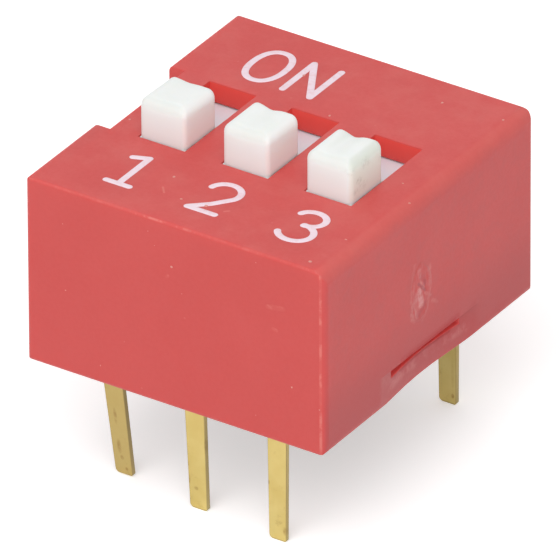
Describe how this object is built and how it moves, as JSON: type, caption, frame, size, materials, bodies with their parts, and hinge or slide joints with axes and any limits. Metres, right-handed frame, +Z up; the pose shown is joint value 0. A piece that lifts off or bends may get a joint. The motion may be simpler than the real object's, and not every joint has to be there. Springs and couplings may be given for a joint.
{
  "type": "dip switch",
  "caption": "Raised-slide DIP switch: a small moulded cover with sliding knobs in slots above two rows of through-hole legs, for setting options on a circuit board.",
  "frame": {"origin": "middle of the cover's footprint, in the plane of the cover's bottom rim, which is the board's surface", "axes": "+X from position 1 to position 3, +Y from the OFF side to the ON side, +Z up out of the board"},
  "size_m": [0.0092, 0.01, 0.0101],
  "materials": {
    "cover_red": "moulded glass-filled polyester, faintly mottled satin red",
    "base_black": "moulded black polyester, satin",
    "resin_brown": "poured dark epoxy sealing resin, glossy",
    "actuator_white": "moulded white nylon, soft sheen",
    "spring_gold": "gold-plated phosphor bronze strip",
    "terminal_gold": "gold-plated brass strip, lightly tarnished, with darker sheared edges"
  },
  "bodies": {
    "root": {"cover": "cover_red", "base": "base_black", "sealing_resin": "resin_brown", "terminal_front_1": "terminal_gold", "terminal_front_2": "terminal_gold", "terminal_front_3": "terminal_gold", "terminal_rear_1": "terminal_gold", "terminal_rear_2": "terminal_gold", "terminal_rear_3": "terminal_gold"},
    "slider_1": {"actuator_1": "actuator_white", "contact_spring_1": "spring_gold"},
    "slider_2": {"actuator_2": "actuator_white", "contact_spring_2": "spring_gold"},
    "slider_3": {"actuator_3": "actuator_white", "contact_spring_3": "spring_gold"}
  },
  "joints": [
    {"name": "slide_1", "type": "slide", "parent": "root", "child": "slider_1", "axis": [0, 1, 0], "range_m": [0, 0.0018]},
    {"name": "slide_2", "type": "slide", "parent": "root", "child": "slider_2", "axis": [0, 1, 0], "range_m": [0, 0.0018]},
    {"name": "slide_3", "type": "slide", "parent": "root", "child": "slider_3", "axis": [0, 1, 0], "range_m": [0, 0.0018]}
  ]
}
